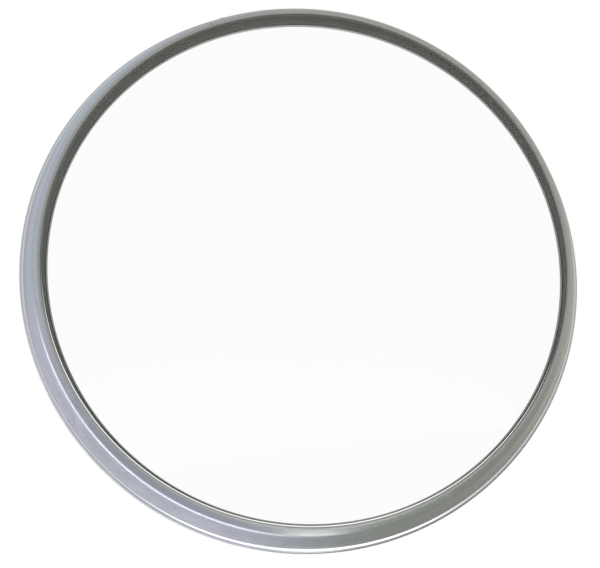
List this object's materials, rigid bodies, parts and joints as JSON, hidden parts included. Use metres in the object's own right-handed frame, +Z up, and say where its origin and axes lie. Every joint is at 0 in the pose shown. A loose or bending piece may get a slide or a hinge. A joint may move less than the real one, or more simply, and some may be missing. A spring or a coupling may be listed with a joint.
{
  "type": "convex security mirror",
  "caption": "Round convex security mirror in a flared metal rim, on a wall bracket that pans and tilts and is locked by clamping knobs.",
  "frame": {"origin": "centre of the wall plate's back face, on the wall", "axes": "+Z up, +Y into the wall, the mirror looks along -Y"},
  "size_m": [0.4498, 0.2872, 0.4498],
  "materials": {
    "mirror_face": "silvered acrylic, polished",
    "rim_metal": "satin, spun",
    "back_steel": "galvanised, matt",
    "bracket_steel": "zinc plated",
    "knuckle_cast": "die cast, fine grain",
    "tube_steel": "zinc plated, drawn",
    "fastener_steel": "zinc plated",
    "insert_brass": "turned",
    "knob_plastic": "moulded, fine texture",
    "nylon": "natural nylon",
    "gasket_rubber": "extruded, matt",
    "hoop_plastic": "moulded"
  },
  "bodies": {
    "wall": {"wall_plate": "bracket_steel", "pan_clevis": "bracket_steel", "clevis_rivet_1": "fastener_steel", "clevis_rivet_2": "fastener_steel", "clevis_rivet_3": "fastener_steel", "clevis_rivet_4": "fastener_steel", "pan_bolt": "fastener_steel", "pan_washer": "fastener_steel"},
    "arm": {"arm_tube": "tube_steel", "front_knuckle": "knuckle_cast", "rear_knuckle": "knuckle_cast", "knuckle_pin_1": "fastener_steel", "knuckle_pin_2": "fastener_steel", "pan_friction_washer_1": "nylon", "pan_friction_washer_2": "nylon", "tilt_friction_washer_1": "nylon", "tilt_friction_washer_2": "nylon"},
    "mirror_head": {"mirror_dome": "mirror_face", "rim": "rim_metal", "edge_gasket": "gasket_rubber", "support_hoop": "hoop_plastic", "rim_splice": "bracket_steel", "splice_rivet_1": "fastener_steel", "splice_rivet_2": "fastener_steel", "splice_rivet_3": "fastener_steel", "splice_rivet_4": "fastener_steel", "back_pan": "back_steel", "pan_screw_1": "fastener_steel", "pan_screw_2": "fastener_steel", "pan_screw_3": "fastener_steel", "pan_screw_4": "fastener_steel", "pan_screw_5": "fastener_steel", "pan_screw_6": "fastener_steel", "pan_screw_7": "fastener_steel", "pan_screw_8": "fastener_steel", "stiffener_plate": "bracket_steel", "tilt_bracket": "bracket_steel", "bracket_bolt_1": "fastener_steel", "bracket_bolt_2": "fastener_steel", "bracket_bolt_3": "fastener_steel", "bracket_bolt_4": "fastener_steel", "bracket_nut_1": "fastener_steel", "bracket_nut_2": "fastener_steel", "bracket_nut_3": "fastener_steel", "bracket_nut_4": "fastener_steel", "tilt_bolt": "fastener_steel", "tilt_washer": "fastener_steel"},
    "pan_knob": {"pan_knob": "knob_plastic", "pan_knob_insert": "insert_brass"},
    "tilt_knob": {"tilt_knob": "knob_plastic", "tilt_knob_insert": "insert_brass"}
  },
  "joints": [
    {"name": "pan", "type": "hinge", "parent": "wall", "child": "arm", "pos_m": [0, -0.034, 0], "axis": [0, 0, 1], "range_deg": [-30, 30]},
    {"name": "tilt", "type": "hinge", "parent": "arm", "child": "mirror_head", "pos_m": [0, -0.168, 0], "axis": [1, 0, 0], "range_deg": [-40, 40]},
    {"name": "pan_knob_turn", "type": "hinge", "parent": "wall", "child": "pan_knob", "pos_m": [0, -0.034, 0], "axis": [0, 0, -1], "continuous": true},
    {"name": "tilt_knob_turn", "type": "hinge", "parent": "mirror_head", "child": "tilt_knob", "pos_m": [0, -0.168, 0], "axis": [1, 0, 0], "continuous": true}
  ]
}
